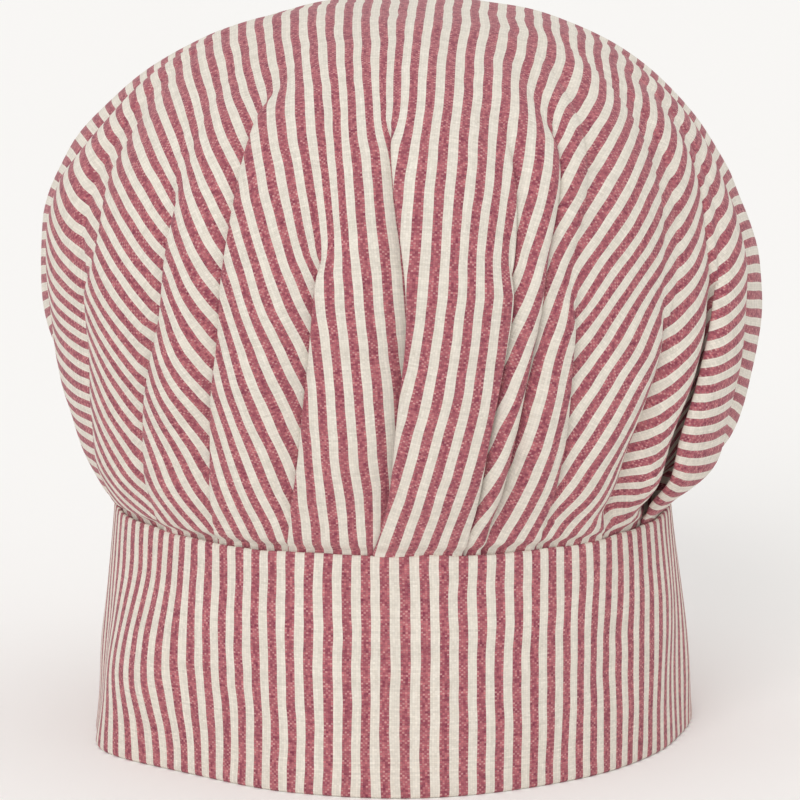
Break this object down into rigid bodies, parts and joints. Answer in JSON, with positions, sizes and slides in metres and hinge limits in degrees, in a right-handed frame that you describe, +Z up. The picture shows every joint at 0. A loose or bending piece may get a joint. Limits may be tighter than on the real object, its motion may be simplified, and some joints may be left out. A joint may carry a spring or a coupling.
{
  "type": "chef hat",
  "caption": "Floppy chef hat: a full round crown of striped cotton, pleated all round into a deep straight band, standing on its rim.",
  "frame": {"origin": "centre of the hat's footprint, on the plane that the rim stands on", "axes": "+Z up through the crown, -Y towards the front of the hat, +X towards the right as seen from the front"},
  "size_m": [0.2138, 0.2163, 0.2212],
  "materials": {
    "striped_cotton": "woven red and cream stripe, matt"
  },
  "bodies": {
    "root": {"crown": "striped_cotton", "band": "striped_cotton"}
  },
  "joints": []
}
